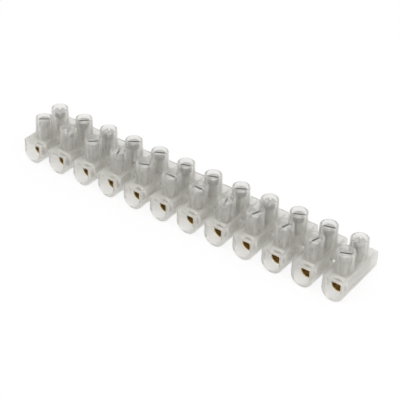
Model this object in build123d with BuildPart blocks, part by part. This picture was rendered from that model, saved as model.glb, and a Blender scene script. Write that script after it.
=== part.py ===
from build123d import *
import os

# Twelve-way screw terminal strip: one moulded housing, twelve brass terminals, two screws in each.
# Millimetres. X runs along the strip, Z up. Z = 0 is where the rounded poles rest.
# The origin is under the middle of the strip.

# Strip
poles = 12
pitch = 10.0
body_depth = 19.0

# Pole section: flat top, straight sides, half-round bottom
pole_width = 7.2
side_height = 4.1
edge_radius = 0.3

# Screw turrets, each standing inside the sides of its pole, with a gap between front and rear
turret_gap = 1.18
turret_height = 6.5
turret_margin = 0.72
turret_draft = 0.2
turret_wall = 0.6
rim_radius = 0.28
base_blend = 0.25

# Webs between the poles, each with a fixing hole
web_bite = 1.35
web_drop = 0.4
web_floor = 1.3
fixing_hole_radius = 1.6

# Brass terminals: the same section as the pole, smaller, with a round wire bore
top_wall = 1.1
side_wall = 1.25
terminal_clearance = 0.05
terminal_length = 12.8
terminal_wall = 0.42
wire_mouth_chamfer = 0.15
entry_chamfer = 0.15

# Screws
head_clearance = 0.33
head_overhang = 0.5
shank_clearance = 0.05
shank_length = 5.67
tip_chamfer = 0.3
head_height = 1.9
head_edge = 0.2
slot_width = 0.6
slot_depth = 0.85
tip_gap = 0.12

# How each screw was left, poles 1 to 12: the turn of its slot about Z in degrees,
# and its lift above the lowest of them
front_slot_turn = [38, 125, 45, 110, 30, 0, 178, 105, 70, 75, 75, 25]
front_lift = [0.35, 0.0, 0.1, 0.4, 0.0, 0.15, 0.1, 0.0, 0.05, 0.1, 0.05, 0.05]
rear_slot_turn = [132, 45, 125, 38, 28, 20, 24, 33, 116, 27, 18, 112]
rear_lift = [0.1, 0.15, 0.1, 0.3, 0.4, 0.0, 0.1, 0.05, 0.15, 0.0, 0.15, 0.1]

# Worked out from the sizes above
curve_height = pole_width / 2
body_height = curve_height + side_height
rim_height = body_height + turret_height
turret_base_radius = pole_width / 2 - turret_margin
turret_rim_radius = turret_base_radius - turret_draft
turret_bore_radius = turret_rim_radius - turret_wall
turret_offset = turret_base_radius + base_blend + turret_gap / 2
web_radius = (pitch - pole_width) / 2 + web_bite
pocket_half_width = pole_width / 2 - side_wall
pocket_top = body_height - top_wall
terminal_half_width = pocket_half_width - terminal_clearance
terminal_top = pocket_top - terminal_clearance
wire_radius = terminal_half_width - terminal_wall
head_radius = turret_bore_radius - head_clearance
shank_radius = head_radius - head_overhang
screw_hole_radius = shank_radius + shank_clearance
slot_length = 2 * head_radius + slot_width
shank_start = curve_height + wire_radius + tip_gap
pole_x = [(i - (poles - 1) / 2) * pitch for i in range(poles)]


def u_section(centres, half_width, top):
    """Flat-topped section with a half-round bottom, standing at each of the given X positions."""
    with BuildSketch(Plane.XZ) as section:
        with Locations(*[(x, curve_height) for x in centres]):
            Circle(half_width)
            Rectangle(2 * half_width, top - curve_height, align=(Align.CENTER, Align.MIN))
    return section.sketch


def turret_grid():
    """The centres of all the screw turrets, front and rear."""
    return GridLocations(pitch, 2 * turret_offset, poles, 2)


def mouth_edges(part):
    """The edges around the openings in a part's end faces."""
    end_faces = part.faces().filter_by(Axis.Y)
    return [edge for face in end_faces for wire in face.inner_wires() for edge in wire.edges()]


# Housing: poles, webs and turrets in one moulding
with BuildPart() as housing:
    extrude(u_section(pole_x, pole_width / 2, body_height), amount=body_depth / 2, both=True)
    end_outlines = housing.faces().filter_by(Axis.Y).edges()
    top_corners = housing.edges().filter_by(Axis.Y).filter_by_position(
        Axis.Z, body_height - edge_radius / 2, body_height + edge_radius / 2)
    fillet(end_outlines + top_corners, edge_radius)

    with Locations((0, 0, web_floor)):
        with GridLocations(pitch, pitch, poles - 1, 1):
            Cylinder(web_radius, body_height - web_drop - web_floor,
                     align=(Align.CENTER, Align.CENTER, Align.MIN))

    with Locations((0, 0, body_height)):
        with turret_grid():
            Cone(turret_base_radius, turret_rim_radius, turret_height,
                 align=(Align.CENTER, Align.CENTER, Align.MIN))
    foot_edges = housing.edges(Select.LAST).filter_by(GeomType.CIRCLE).group_by(Axis.Z)[0]
    fillet(foot_edges, base_blend)
    fillet(housing.faces().filter_by(Axis.Z).group_by(Axis.Z)[-1].edges(), rim_radius)

    extrude(u_section(pole_x, pocket_half_width, pocket_top),
            amount=body_depth, both=True, mode=Mode.SUBTRACT)
    chamfer(mouth_edges(housing), entry_chamfer)

    with Locations((0, 0, rim_height)):
        with turret_grid():
            Hole(turret_bore_radius, depth=rim_height - curve_height)

    with Locations((0, 0, body_height)):
        with GridLocations(pitch, pitch, poles - 1, 1):
            Hole(fixing_hole_radius, depth=body_height)


# Brass terminal of one pole: a bar with the pocket's section, bored for the wire,
# with a hole for each of its two screws
def make_terminal(x):
    with BuildPart() as terminal:
        extrude(u_section([x], terminal_half_width, terminal_top), amount=terminal_length / 2, both=True)
        with Locations(Location((x, 0, curve_height), (90, 0, 0))):
            Cylinder(wire_radius, terminal_length, mode=Mode.SUBTRACT)
        chamfer(mouth_edges(terminal), wire_mouth_chamfer)
        with Locations((x, -turret_offset, terminal_top), (x, turret_offset, terminal_top)):
            Hole(screw_hole_radius, depth=terminal_top - curve_height)
    return terminal.part


# Slotted cheese-head screw, standing in its turret with its tip just above the wire bore
def make_screw(x, y, turn, lift):
    with BuildPart(Plane.XY.offset(shank_start + lift)) as screw:
        with Locations((x, y)):
            Cylinder(shank_radius, shank_length, align=(Align.CENTER, Align.CENTER, Align.MIN))
        chamfer(screw.edges().sort_by(Axis.Z)[0], tip_chamfer)
        with Locations((x, y, shank_length)):
            Cylinder(head_radius, head_height, align=(Align.CENTER, Align.CENTER, Align.MIN))
        chamfer(screw.edges().sort_by(Axis.Z)[-1], head_edge)
        with Locations(Location((x, y, shank_length + head_height), (0, 0, turn))):
            Box(slot_length, slot_width, slot_depth,
                align=(Align.CENTER, Align.CENTER, Align.MAX), mode=Mode.SUBTRACT)
    return screw.part


os.makedirs("parts", exist_ok=True)
housing.part.label = "housing"
export_step(housing.part, "parts/housing.step")

for i, x in enumerate(pole_x):
    pieces = {
        "terminal": make_terminal(x),
        "screw_front": make_screw(x, -turret_offset, front_slot_turn[i], front_lift[i]),
        "screw_rear": make_screw(x, turret_offset, rear_slot_turn[i], rear_lift[i]),
    }
    for name, piece in pieces.items():
        piece.label = f"{name}_{i + 1:02d}"
        export_step(piece, f"parts/{piece.label}.step")
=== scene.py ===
import math

import bmesh
import bpy
from mathutils import Matrix, Vector


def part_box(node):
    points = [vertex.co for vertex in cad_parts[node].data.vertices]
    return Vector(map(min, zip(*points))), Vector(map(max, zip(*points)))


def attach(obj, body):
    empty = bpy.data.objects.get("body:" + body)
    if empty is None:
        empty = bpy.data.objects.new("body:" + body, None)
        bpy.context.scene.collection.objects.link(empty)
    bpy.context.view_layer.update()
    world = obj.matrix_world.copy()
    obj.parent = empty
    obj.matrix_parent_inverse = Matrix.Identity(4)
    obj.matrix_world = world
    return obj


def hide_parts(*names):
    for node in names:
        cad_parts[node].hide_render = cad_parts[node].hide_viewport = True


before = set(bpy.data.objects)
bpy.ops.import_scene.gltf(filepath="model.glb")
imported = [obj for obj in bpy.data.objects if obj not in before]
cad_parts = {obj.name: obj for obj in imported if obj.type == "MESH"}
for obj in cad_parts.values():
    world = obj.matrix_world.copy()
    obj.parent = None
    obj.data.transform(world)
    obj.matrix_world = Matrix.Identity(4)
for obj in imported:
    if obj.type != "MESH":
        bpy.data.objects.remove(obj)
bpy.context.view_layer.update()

# Metres in a millimetre
MM = 0.001

# Housing sizes in millimetres that the frame's boxes don't give
POLE_WIDTH = 7.2
BODY_HEIGHT = 7.7
EDGE_RADIUS = 0.3
TURRET_RIM_RADIUS = 2.68
TURRET_BASE_RADIUS = 2.88
TURRET_BORE_RADIUS = 2.08
RIM_RADIUS = 0.28
BASE_BLEND = 0.25
WEB_RADIUS = 2.75
WEB_FLOOR = 1.3
WEB_TOP = 7.3
FIXING_HOLE_RADIUS = 1.6
POCKET_HALF_WIDTH = 2.35
POCKET_TOP = 6.6
WIRE_RADIUS = 1.88
ENTRY_CHAMFER = 0.15

# How far a joined or cutting form reaches past the surface that it meets, in millimetres
OVERLAP = 0.5

# Screw sizes in millimetres
HEAD_RADIUS = 1.75
HEAD_HEIGHT = 1.9
HEAD_EDGE = 0.22
HEAD_UNDERSIDE_EDGE = 0.08
SLOT_WIDTH = 0.6
SLOT_DEPTH = 0.85
SHANK_RADIUS = 1.24
THREAD_PITCH = 0.45
THREAD_DEPTH = 0.26
THREAD_RUN_OUT = 0.5
GROOVE_SLOPE = 1.25
TIP_CHAMFER = 0.3

# The plastic: how it bends light, how thick the cloud and the stain in it are, how far the cloud throws
# light forward, what the stain lets through, and the two tints of its surface
PLASTIC_IOR = 1.22
CLOUD_PER_METRE = 720
STAIN_PER_METRE = 24
CLOUD_FORWARD = 0.2
STAIN_COLOUR = (0.9, 0.75, 0.2)
PLASTIC_TINTS = ((0.98, 0.975, 0.965), (0.995, 0.99, 0.98))

# The two tints of the raw and of the plated brass, and how far past its wall the bore stays raw, in mm
RAW_TINTS = ((0.55, 0.43, 0.21), (0.68, 0.54, 0.29))
PLATED_TINTS = ((0.86, 0.85, 0.82), (0.94, 0.93, 0.90))
RAW_MARGIN = 0.2

# Greys of the screws, with light and shade painted in: a lighter grey on the thread, a darker one on the
# side of the head and one on its top, and the two tints of the cloud over them
THREAD_STEEL_PAINTED_LIGHT = (0.68, 0.67, 0.645)
HEAD_SIDE_STEEL_PAINTED_SHADE = (0.60, 0.595, 0.575)
HEAD_TOP_STEEL_PAINTED_LIGHT = (0.62, 0.615, 0.60)
STEEL_CLOUD_TINTS = ((0.85, 0.85, 0.84), (1, 1, 1))

# Studio: the light from all round, the share of its own white that the floor shows to the camera, the
# floor's grey and half its width in millimetres, and the one lamp, in metres and watts
WORLD_LIGHT = 0.85
FLOOR_GLOW = 0.85
FLOOR_GREY = 0.95
FLOOR_HALF_WIDTH = 3000
KEY_PLACE = (0.35, -0.25, 0.65)
KEY_SIZE = 0.6
KEY_POWER = 2.2

# Camera: where the photograph was taken from, in degrees and millimetres
CAMERA_AZIMUTH = 34.477
CAMERA_ELEVATION = 35.361
CAMERA_ROLL = 2.430
CAMERA_DISTANCE = 372.1
CAMERA_TARGET = (3.112, 0.0, 5.99)
FOCAL_PIXELS = 1246.38
IMAGE_PIXELS = 400
SENSOR_MM = 36.0

# How finely round forms are divided, and the angles in degrees from which an edge counts as sharp
TURRET_SEGMENTS = 64
HOLE_SEGMENTS = 48
CURVE_SEGMENTS = 32
FILLET_STEPS = 5
SCREW_SEGMENTS = 40
ROWS_PER_THREAD = 6
HOUSING_SHARP_ANGLE = 32
SCREW_SHARP_ANGLE = 35

strip_low, strip_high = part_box("housing")
BODY_DEPTH = (strip_high.y - strip_low.y) / MM
RIM_HEIGHT = strip_high.z / MM
CURVE_HEIGHT = POLE_WIDTH / 2
terminals = sorted(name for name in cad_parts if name.startswith("terminal"))
screws = sorted(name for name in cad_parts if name.startswith("screw"))


def centre_of(node):
    """The middle of a CAD node's box, in millimetres."""
    low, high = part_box(node)
    return (low + high) / (2 * MM)


pole_x = [centre_of(name).x for name in terminals]
screw_low, screw_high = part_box(screws[0])
SCREW_LENGTH = (screw_high.z - screw_low.z) / MM
turret_spots = [(centre_of(name).x, centre_of(name).y, 0) for name in screws]
web_x = [(a + b) / 2 for a, b in zip(pole_x, pole_x[1:])]


# Meshes
def mesh_object(name, vertices, faces):
    """A mesh object with outward faces, from points in millimetres."""
    mesh = bpy.data.meshes.new(name)
    mesh.from_pydata([[c * MM for c in v] for v in vertices], [], faces)
    bm = bmesh.new()
    bm.from_mesh(mesh)
    bmesh.ops.recalc_face_normals(bm, faces=bm.faces)
    bm.to_mesh(mesh)
    bm.free()
    obj = bpy.data.objects.new(name, mesh)
    bpy.context.scene.collection.objects.link(obj)
    return obj


def lofted(rings):
    """Vertices and faces of a closed form through rings of equal count, with a flat cap at each end."""
    count = len(rings[0])
    vertices = [v for ring in rings for v in ring]
    faces = [tuple(reversed(range(count)))]
    for start in range(0, len(vertices) - count, count):
        for i in range(count):
            a, b = start + i, start + (i + 1) % count
            faces.append((a, b, b + count, a + count))
    faces.append(tuple(range(len(vertices) - count, len(vertices))))
    return vertices, faces


def many(name, form, spots):
    """One object holding a copy of the form at each (x, y, z) spot."""
    vertices, faces = form
    all_vertices, all_faces = [], []
    for x, y, z in spots:
        start = len(all_vertices)
        all_vertices += [(vx + x, vy + y, vz + z) for vx, vy, vz in vertices]
        all_faces += [tuple(i + start for i in face) for face in faces]
    return mesh_object(name, all_vertices, all_faces)


def turned(profile, segments):
    """A closed form turned about Z from (radius, height) points, lowest first."""
    turns = [2 * math.pi * i / segments for i in range(segments)]
    return lofted([[(r * math.cos(a), r * math.sin(a), z) for a in turns] for r, z in profile])


def arc(centre_r, centre_z, radius, start, end, steps=FILLET_STEPS):
    """(radius, height) points of a round edge, between two angles in degrees."""
    turns = [math.radians(start + (end - start) * i / steps) for i in range(steps + 1)]
    return [(centre_r + radius * math.cos(a), centre_z + radius * math.sin(a)) for a in turns]


def combine(target, tool, operation):
    """Adds or cuts the tool, and removes it."""
    modifier = target.modifiers.new(operation.lower(), "BOOLEAN")
    modifier.operation = operation
    modifier.solver = "EXACT"
    modifier.object = tool
    depsgraph = bpy.context.evaluated_depsgraph_get()
    result = bpy.data.meshes.new_from_object(target.evaluated_get(depsgraph))
    target.modifiers.clear()
    target.data = result
    bpy.data.objects.remove(tool)


def shade_smooth(obj, degrees):
    """Smooth shading, broken at edges sharper than the angle, with flat faces kept flat."""
    for polygon in obj.data.polygons:
        polygon.use_smooth = True
    obj.data.set_sharp_from_angle(angle=math.radians(degrees))
    modifier = obj.modifiers.new("weighted_normals", "WEIGHTED_NORMAL")
    modifier.keep_sharp = True


def u_ring(y, half_width, top, corner):
    """One U-shaped outline at the given Y: flat top with rounded corners and a half-round bottom."""
    points = arc(0, CURVE_HEIGHT, half_width, 180, 360, CURVE_SEGMENTS)
    points += arc(half_width - corner, top - corner, corner, 0, 90)
    points += arc(corner - half_width, top - corner, corner, 90, 180)
    return [(x, y, z) for x, z in points]


def pole_form():
    """A pole with all its outer edges rounded."""
    stations = []
    for depth, height in arc(EDGE_RADIUS, EDGE_RADIUS, EDGE_RADIUS, 180, 90):
        stations.append((depth - BODY_DEPTH / 2, 2 * EDGE_RADIUS - height))
    stations += [(-y, inset) for y, inset in reversed(stations)]
    least_corner = 0.02
    return lofted([
        u_ring(y, POLE_WIDTH / 2 - inset, BODY_HEIGHT - inset, EDGE_RADIUS - inset + least_corner)
        for y, inset in stations])


def pocket_form():
    """The space for a terminal, right through the pole, flared at both ends."""
    front = -BODY_DEPTH / 2
    stations = [(front - OVERLAP, ENTRY_CHAMFER + OVERLAP), (front + ENTRY_CHAMFER, 0)]
    stations += [(-y, flare) for y, flare in reversed(stations)]
    corner = EDGE_RADIUS / 2
    return lofted([
        u_ring(y, POCKET_HALF_WIDTH + flare, POCKET_TOP + flare, corner) for y, flare in stations])


def turret_form():
    """A screw turret, solid, with a rounded rim and a small blend at its foot."""
    sunk = 0.01
    foot = [(TURRET_BASE_RADIUS + BASE_BLEND, BODY_HEIGHT - OVERLAP)]
    blend = arc(TURRET_BASE_RADIUS + BASE_BLEND, BODY_HEIGHT + BASE_BLEND - sunk, BASE_BLEND, 270, 180)
    rim = arc(TURRET_RIM_RADIUS - RIM_RADIUS, RIM_HEIGHT - RIM_RADIUS, RIM_RADIUS, 0, 90)
    return turned(foot + blend + rim, TURRET_SEGMENTS)


def turret_bore_form():
    """The hole down a turret, with its mouth rounded over."""
    bottom = [(TURRET_BORE_RADIUS, CURVE_HEIGHT + POCKET_HALF_WIDTH)]
    mouth = arc(TURRET_BORE_RADIUS + RIM_RADIUS, RIM_HEIGHT - RIM_RADIUS, RIM_RADIUS, 180, 90)
    return turned(bottom + mouth + [(mouth[-1][0], RIM_HEIGHT + OVERLAP)], TURRET_SEGMENTS)


def make_housing():
    """The whole moulding, as one closed mesh."""
    pole_spots = [(x, 0, 0) for x in pole_x]
    web_spots = [(x, 0, 0) for x in web_x]
    web = turned([(WEB_RADIUS, WEB_FLOOR), (WEB_RADIUS, WEB_TOP)], HOLE_SEGMENTS)
    hole = turned([(FIXING_HOLE_RADIUS, 0), (FIXING_HOLE_RADIUS, BODY_HEIGHT)], HOLE_SEGMENTS)
    housing = many("housing_moulding", pole_form(), pole_spots)
    combine(housing, many("webs", web, web_spots), "UNION")
    combine(housing, many("turrets", turret_form(), turret_spots), "UNION")
    combine(housing, many("pockets", pocket_form(), pole_spots), "DIFFERENCE")
    combine(housing, many("bores", turret_bore_form(), turret_spots), "DIFFERENCE")
    combine(housing, many("fixing_holes", hole, web_spots), "DIFFERENCE")
    shade_smooth(housing, HOUSING_SHARP_ANGLE)
    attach(housing, "strip")
    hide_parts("housing")
    return housing


def slot_turn(node):
    """The angle about Z of a screw's slot, in radians, read from the floor of the slot in its CAD node."""
    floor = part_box(node)[1].z - SLOT_DEPTH * MM
    close = 0.05 * MM
    middle = centre_of(node) * MM
    points = [v.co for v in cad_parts[node].data.vertices]
    on_floor = [point - middle for point in points if abs(point.z - floor) < close]
    length = sum(p.x * p.x - p.y * p.y for p in on_floor)
    lean = sum(2 * p.x * p.y for p in on_floor)
    return math.atan2(lean, length) / 2


def screw_mesh(shank_length):
    """A slotted cheese-head screw with its tip at height 0, and a thread with V grooves on its shank."""
    turns = [2 * math.pi * i / SCREW_SEGMENTS for i in range(SCREW_SEGMENTS)]
    rows = round(shank_length / THREAD_PITCH * ROWS_PER_THREAD)
    rings = []
    for row in range(rows + 1):
        z = shank_length * row / rows
        cut = THREAD_DEPTH * min(1, (shank_length - z) / THREAD_RUN_OUT)
        ring = []
        for a in turns:
            phase = z / THREAD_PITCH - a / (2 * math.pi)
            groove = abs(2 * (phase % 1) - 1)
            radius = SHANK_RADIUS - cut * min(1, GROOVE_SLOPE * (1 - groove))
            radius = min(radius, SHANK_RADIUS - TIP_CHAMFER + z)
            ring.append((radius * math.cos(a), radius * math.sin(a), z))
        rings.append(ring)
    top = shank_length + HEAD_HEIGHT
    head = [(HEAD_RADIUS - HEAD_UNDERSIDE_EDGE, shank_length),
            (HEAD_RADIUS, shank_length + HEAD_UNDERSIDE_EDGE)]
    head += arc(HEAD_RADIUS - HEAD_EDGE, top - HEAD_EDGE, HEAD_EDGE, 0, 90)
    rings += [[(r * math.cos(a), r * math.sin(a), z) for a in turns] for r, z in head]
    screw = mesh_object("screw_pattern", *lofted(rings))
    half_length, half_width = HEAD_RADIUS + OVERLAP, SLOT_WIDTH / 2
    corners = [(-half_length, -half_width), (half_length, -half_width), (half_length, half_width),
               (-half_length, half_width)]
    slot = lofted([[(x, y, z) for x, y in corners] for z in (top - SLOT_DEPTH, top + OVERLAP)])
    combine(screw, mesh_object("slot", *slot), "DIFFERENCE")
    shade_smooth(screw, SCREW_SHARP_ANGLE)
    mesh = screw.data
    bpy.data.objects.remove(screw)
    return mesh


def make_screws():
    """Every screw where its CAD node stands, turned as its slot is."""
    mesh = screw_mesh(SCREW_LENGTH - HEAD_HEIGHT)
    made = []
    for node in screws:
        screw = bpy.data.objects.new(node + "_threaded", mesh)
        bpy.context.scene.collection.objects.link(screw)
        low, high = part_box(node)
        screw.location = ((low.x + high.x) / 2, (low.y + high.y) / 2, low.z)
        screw.rotation_euler = (0, 0, slot_turn(node))
        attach(screw, node)
        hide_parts(node)
        made.append(screw)
    return made


# Materials
def new_material(name):
    """A material with its node tree and its shader."""
    material = bpy.data.materials.new(name)
    material.use_nodes = True
    tree = material.node_tree
    return material, tree, tree.nodes["Principled BSDF"]


def noise(tree, scale, detail, stretch=(1, 1, 1)):
    """Noise in object space, at so many cells per metre, drawn out along an axis by a small stretch."""
    where = tree.nodes.new("ShaderNodeTexCoord")
    mapping = tree.nodes.new("ShaderNodeMapping")
    mapping.inputs["Scale"].default_value = stretch
    texture = tree.nodes.new("ShaderNodeTexNoise")
    texture.inputs["Scale"].default_value = scale
    texture.inputs["Detail"].default_value = detail
    tree.links.new(where.outputs["Object"], mapping.inputs["Vector"])
    tree.links.new(mapping.outputs["Vector"], texture.inputs["Vector"])
    return texture.outputs["Fac"]


def spread(tree, factor, low, high):
    """A number that goes from low to high as the factor goes over its middle half."""
    ramp = tree.nodes.new("ShaderNodeMapRange")
    ramp.inputs["From Min"].default_value = 0.3
    ramp.inputs["From Max"].default_value = 0.7
    ramp.inputs["To Min"].default_value = low
    ramp.inputs["To Max"].default_value = high
    tree.links.new(factor, ramp.inputs["Value"])
    return ramp.outputs["Result"]


def shaded(tree, factor, stops):
    """A colour that runs through (position, colour) stops as the factor grows."""
    ramp = tree.nodes.new("ShaderNodeValToRGB")
    elements = ramp.color_ramp.elements
    while len(elements) < len(stops):
        elements.new(1.0)
    for element, (position, colour) in zip(elements, stops):
        element.position = position
        element.color = (*colour, 1)
    tree.links.new(factor, ramp.inputs["Fac"])
    return ramp.outputs["Color"]


def tint(tree, factor, dark, light):
    """A colour between two, by the factor's middle part."""
    return shaded(tree, factor, [(0.3, dark), (0.7, light)])


def mixed(tree, factor, a, b, blend="MIX"):
    """Two colours, mixed by a factor or multiplied."""
    mix = tree.nodes.new("ShaderNodeMix")
    mix.data_type = "RGBA"
    mix.blend_type = blend
    if factor is not None:
        tree.links.new(factor, mix.inputs["Factor"])
    else:
        mix.inputs["Factor"].default_value = 1.0
    tree.links.new(a, mix.inputs["A"])
    tree.links.new(b, mix.inputs["B"])
    return mix.outputs["Result"]


def bumped(tree, shader, height, distance):
    """Relief of so many metres on a shader."""
    bump = tree.nodes.new("ShaderNodeBump")
    bump.inputs["Distance"].default_value = distance
    bump.inputs["Strength"].default_value = 1.0
    tree.links.new(height, bump.inputs["Height"])
    tree.links.new(bump.outputs["Normal"], shader.inputs["Normal"])


def calculated(tree, operation, *values):
    """The result of one sum, on sockets or plain numbers."""
    node = tree.nodes.new("ShaderNodeMath")
    node.operation = operation
    for value, socket in zip(values, node.inputs):
        if isinstance(value, bpy.types.NodeSocket):
            tree.links.new(value, socket)
        else:
            socket.default_value = value
    return node.outputs[0]


def along(tree, axis):
    """How far a point lies along an axis of its object."""
    where = tree.nodes.new("ShaderNodeTexCoord")
    split = tree.nodes.new("ShaderNodeSeparateXYZ")
    tree.links.new(where.outputs["Object"], split.inputs["Vector"])
    return split.outputs[axis]


def make_plastic():
    """Natural polyethylene: clear at its surface, with a fine cloud and a faint warm stain inside."""
    material, tree, shader = new_material("natural_plastic")
    flow = noise(tree, 160, 3, (1, 0.35, 1))
    grain = noise(tree, 2600, 4)
    tree.links.new(tint(tree, flow, *PLASTIC_TINTS), shader.inputs["Base Color"])
    tree.links.new(spread(tree, flow, 0.09, 0.16), shader.inputs["Roughness"])
    bumped(tree, shader, grain, 0.00001)
    shader.inputs["IOR"].default_value = PLASTIC_IOR
    shader.inputs["Transmission Weight"].default_value = 1.0
    cloud = tree.nodes.new("ShaderNodeVolumeScatter")
    cloud.inputs["Color"].default_value = (1, 1, 1, 1)
    cloud.inputs["Density"].default_value = CLOUD_PER_METRE
    cloud.inputs["Anisotropy"].default_value = CLOUD_FORWARD
    stain = tree.nodes.new("ShaderNodeVolumeAbsorption")
    stain.inputs["Color"].default_value = (*STAIN_COLOUR, 1)
    stain.inputs["Density"].default_value = STAIN_PER_METRE
    both = tree.nodes.new("ShaderNodeAddShader")
    tree.links.new(cloud.outputs[0], both.inputs[0])
    tree.links.new(stain.outputs[0], both.inputs[1])
    tree.links.new(both.outputs[0], tree.nodes["Material Output"].inputs["Volume"])
    return material


def near_bore(tree):
    """1 in a terminal's wire bore and at its mouth, 0 elsewhere, by the distance to the bore's axis."""
    pitch = (pole_x[1] - pole_x[0]) * MM
    value = along(tree, "X")
    from_pole_centre = (("ADD", pitch * len(pole_x) / 2), ("MODULO", pitch), ("SUBTRACT", pitch / 2))
    for operation, number in from_pole_centre:
        value = calculated(tree, operation, value, number)
    height = calculated(tree, "SUBTRACT", along(tree, "Z"), CURVE_HEIGHT * MM)
    joined = tree.nodes.new("ShaderNodeCombineXYZ")
    tree.links.new(value, joined.inputs["X"])
    tree.links.new(height, joined.inputs["Z"])
    length = tree.nodes.new("ShaderNodeVectorMath")
    length.operation = "LENGTH"
    tree.links.new(joined.outputs["Vector"], length.inputs[0])
    return calculated(tree, "LESS_THAN", length.outputs["Value"], (WIRE_RADIUS + RAW_MARGIN) * MM)


def make_brass():
    """Nickel-plated brass bar, with the raw brass of its drilled wire bore bare."""
    material, tree, shader = new_material("brass")
    lines = noise(tree, 900, 3, (1, 0.04, 1))
    patches = noise(tree, 350, 2)
    raw = tint(tree, patches, *RAW_TINTS)
    plated = tint(tree, patches, *PLATED_TINTS)
    tree.links.new(mixed(tree, near_bore(tree), plated, raw), shader.inputs["Base Color"])
    tree.links.new(spread(tree, lines, 0.22, 0.40), shader.inputs["Roughness"])
    bumped(tree, shader, lines, 0.00002)
    shader.inputs["Metallic"].default_value = 1.0
    return material


def make_steel():
    """Zinc-plated steel: a little cloudy, with fine marks of turning, and with light and shade painted in
    as its own grey for the thread, the side of the head and its top.
    """
    material, tree, shader = new_material("zinc_plated_steel")
    cloud = noise(tree, 700, 4)
    rings = noise(tree, 500, 2, (1, 1, 12))
    height = calculated(tree, "DIVIDE", along(tree, "Z"), SCREW_LENGTH * MM)
    # Where each grey of the painted light and shade starts or ends, as shares of the screw's height
    stops = [(0.74, THREAD_STEEL_PAINTED_LIGHT), (0.76, HEAD_SIDE_STEEL_PAINTED_SHADE), (0.93, HEAD_SIDE_STEEL_PAINTED_SHADE), (0.97, HEAD_TOP_STEEL_PAINTED_LIGHT)]
    painted_light_and_shade = shaded(tree, height, stops)
    clouded = tint(tree, cloud, *STEEL_CLOUD_TINTS)
    tree.links.new(mixed(tree, None, painted_light_and_shade, clouded, "MULTIPLY"), shader.inputs["Base Color"])
    tree.links.new(spread(tree, cloud, 0.40, 0.54), shader.inputs["Roughness"])
    bumped(tree, shader, rings, 0.000012)
    shader.inputs["Metallic"].default_value = 1.0
    return material


# Studio
def background_white(tree, for_camera=1.0):
    """1 for mirror and see-through rays, which see plain white, and the given share for the camera."""
    path = tree.nodes.new("ShaderNodeLightPath")
    seen = calculated(tree, "MULTIPLY", path.outputs["Is Camera Ray"], for_camera)
    for ray in ("Is Glossy Ray", "Is Transmission Ray"):
        seen = calculated(tree, "MAXIMUM", seen, path.outputs[ray])
    return seen


def make_floor():
    """A wide floor, where the strip rests, that shows white with a faint shadow."""
    half = FLOOR_HALF_WIDTH
    corners = [(-half, -half, 0), (half, -half, 0), (half, half, 0), (-half, half, 0)]
    floor = mesh_object("floor", corners, [(0, 1, 2, 3)])
    material, tree, shader = new_material("pale_floor")
    shader.inputs["Base Color"].default_value = (FLOOR_GREY, FLOOR_GREY, FLOOR_GREY, 1)
    shader.inputs["Roughness"].default_value = 0.9
    shader.inputs["Specular IOR Level"].default_value = 0.0
    glow = tree.nodes.new("ShaderNodeEmission")
    glow.inputs["Color"].default_value = (1, 1, 1, 1)
    glow.inputs["Strength"].default_value = 1.0
    mix = tree.nodes.new("ShaderNodeMixShader")
    tree.links.new(background_white(tree, FLOOR_GLOW), mix.inputs["Fac"])
    tree.links.new(shader.outputs[0], mix.inputs[1])
    tree.links.new(glow.outputs[0], mix.inputs[2])
    tree.links.new(mix.outputs[0], tree.nodes["Material Output"].inputs["Surface"])
    floor.data.materials.append(material)


def make_world():
    """Soft grey light from all round, and white behind."""
    world = bpy.data.worlds.new("studio")
    bpy.context.scene.world = world
    world.use_nodes = True
    tree = world.node_tree
    light = tree.nodes["Background"]
    light.inputs["Color"].default_value = (1, 1, 1, 1)
    light.inputs["Strength"].default_value = WORLD_LIGHT
    white = tree.nodes.new("ShaderNodeBackground")
    white.inputs["Color"].default_value = (1, 1, 1, 1)
    white.inputs["Strength"].default_value = 1.0
    mix = tree.nodes.new("ShaderNodeMixShader")
    tree.links.new(background_white(tree), mix.inputs["Fac"])
    tree.links.new(light.outputs[0], mix.inputs[1])
    tree.links.new(white.outputs[0], mix.inputs[2])
    tree.links.new(mix.outputs[0], tree.nodes["World Output"].inputs["Surface"])


def add_lamp(name, place, size, power):
    """A square soft lamp, aimed at the middle of the strip."""
    data = bpy.data.lights.new(name, "AREA")
    data.shape = "SQUARE"
    data.size = size
    data.energy = power
    lamp = bpy.data.objects.new(name, data)
    lamp.location = place
    lamp.rotation_euler = (-Vector(place)).to_track_quat("-Z", "Y").to_euler()
    bpy.context.scene.collection.objects.link(lamp)


def make_camera():
    """The camera, at the photograph's viewing angle."""
    azimuth, elevation = math.radians(CAMERA_AZIMUTH), math.radians(CAMERA_ELEVATION)
    back = Vector((math.sin(azimuth) * math.cos(elevation), -math.cos(azimuth) * math.cos(elevation),
                   math.sin(elevation)))
    data = bpy.data.cameras.new("camera")
    data.sensor_width = SENSOR_MM
    data.lens = FOCAL_PIXELS / IMAGE_PIXELS * SENSOR_MM
    data.clip_start = 0.01
    data.clip_end = 20
    camera = bpy.data.objects.new("camera", data)
    turn = back.to_track_quat("Z", "Y").to_matrix() @ Matrix.Rotation(math.radians(CAMERA_ROLL), 3, "Z")
    place = (Vector(CAMERA_TARGET) + back * CAMERA_DISTANCE) * MM
    camera.matrix_world = Matrix.Translation(place) @ turn.to_4x4()
    bpy.context.scene.collection.objects.link(camera)
    bpy.context.scene.camera = camera


plastic, brass, steel = make_plastic(), make_brass(), make_steel()
make_housing().data.materials.append(plastic)
screw_pieces = make_screws()
screw_pieces[0].data.materials.append(steel)
for name in terminals:
    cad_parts[name].material_slots[0].material = brass
make_floor()
make_world()
add_lamp("key", KEY_PLACE, KEY_SIZE, KEY_POWER)
make_camera()
bpy.context.scene.view_settings.view_transform = "Standard"

# Light crosses many walls of the cloudy plastic, so it needs many bounces
light_paths = bpy.context.scene.cycles
light_paths.max_bounces = 48
light_paths.transmission_bounces = 32
light_paths.volume_bounces = 32
light_paths.glossy_bounces = 16
